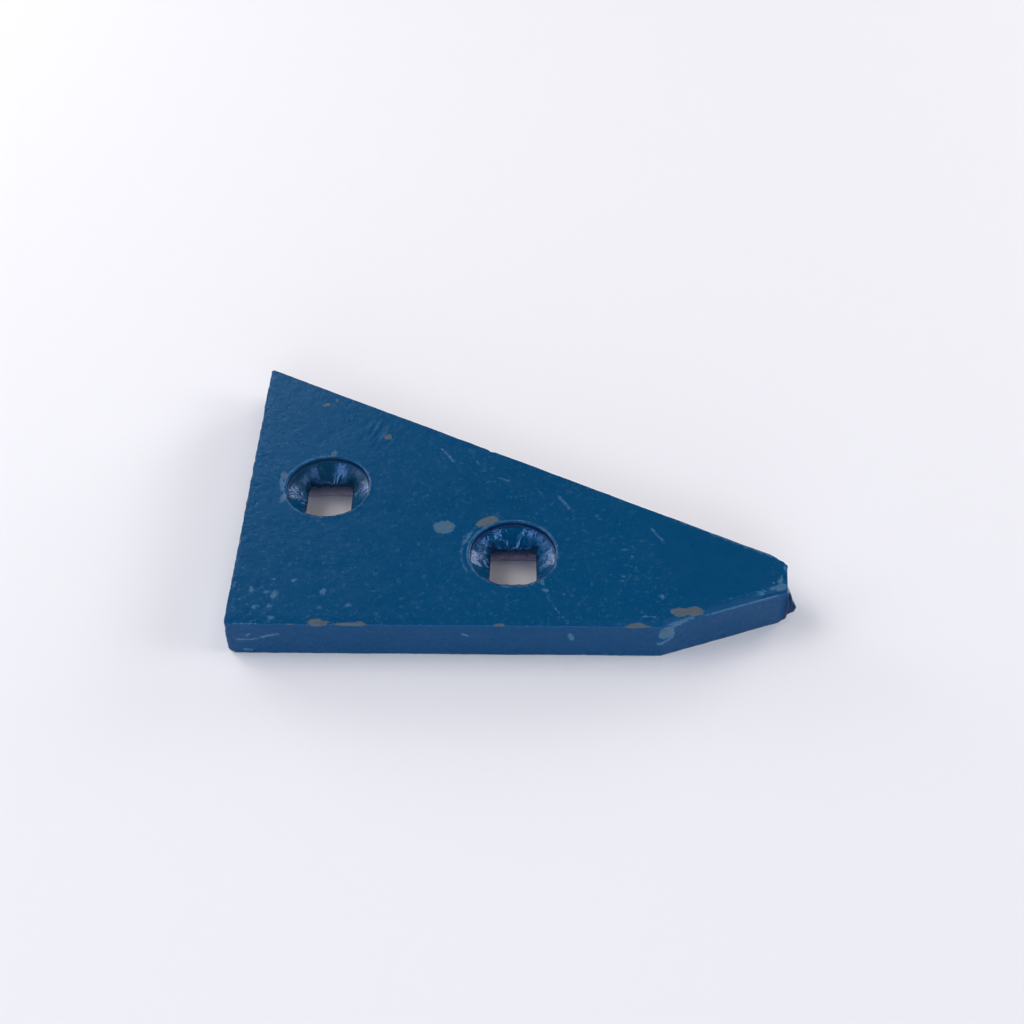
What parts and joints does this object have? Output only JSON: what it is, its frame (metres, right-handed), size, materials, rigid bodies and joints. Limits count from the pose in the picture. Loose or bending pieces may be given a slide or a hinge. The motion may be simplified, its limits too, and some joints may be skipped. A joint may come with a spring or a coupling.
{
  "type": "plough landside",
  "caption": "Tapering steel landside plate for a plough, with countersunk square bolt holes, a slanted nose and a torn, sheared tip; worn blue paint.",
  "frame": {"origin": "on the flat back face, midway between the bolt holes", "axes": "+X along the straight front edge towards the tip, +Y across the plate towards the sloping edge, +Z out of the countersunk show face that rubs on the furrow wall"},
  "size_m": [0.1603, 0.1075, 0.013],
  "materials": {
    "blue_paint": "semi-gloss enamel over rough steel, chipped to bare metal along the edges"
  },
  "bodies": {
    "root": {"landside": "blue_paint"}
  },
  "joints": []
}
